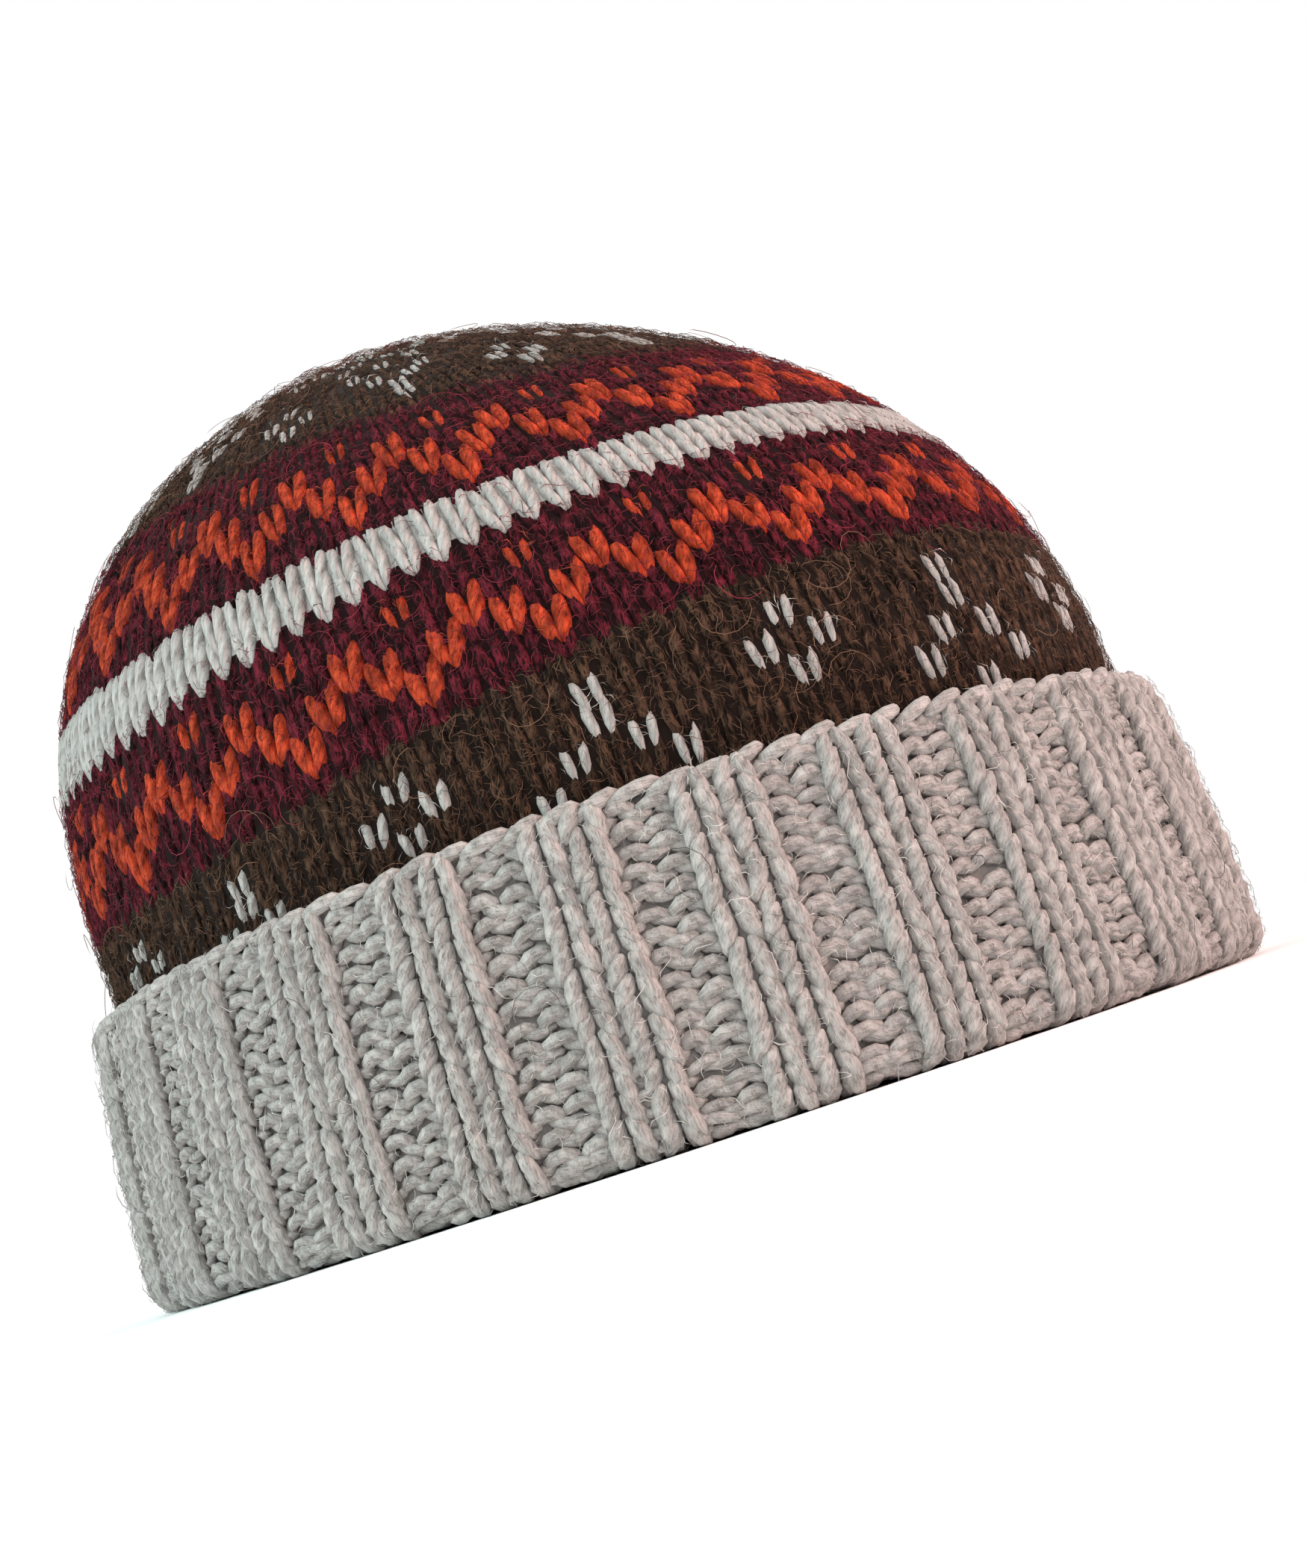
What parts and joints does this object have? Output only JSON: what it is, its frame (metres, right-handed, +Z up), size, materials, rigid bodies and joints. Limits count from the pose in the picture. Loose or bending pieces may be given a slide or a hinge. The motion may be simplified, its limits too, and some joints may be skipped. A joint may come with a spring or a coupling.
{
  "type": "knitted wool hat",
  "caption": "Domed knitted hat with a patterned, hollow crown gathered at the top and a deep ribbed cuff folded up over its lower edge.",
  "frame": {"origin": "under the middle of the hat, on the surface that its rim rests on", "axes": "+Z up through the crown, -Y towards the forehead, +Y towards the back of the head"},
  "size_m": [0.1903, 0.2153, 0.1604],
  "materials": {
    "burgundy_wool": "matte, hairy alpaca yarn",
    "cuff_wool": "matte, softly hairy alpaca yarn",
    "brown_wool": "matte, hairy alpaca yarn",
    "orange_wool": "matte, softly hairy alpaca yarn",
    "pale_wool": "matte, softly hairy alpaca yarn"
  },
  "bodies": {
    "root": {"knitted_crown": "burgundy_wool", "ribbed_cuff": "cuff_wool"}
  },
  "joints": []
}
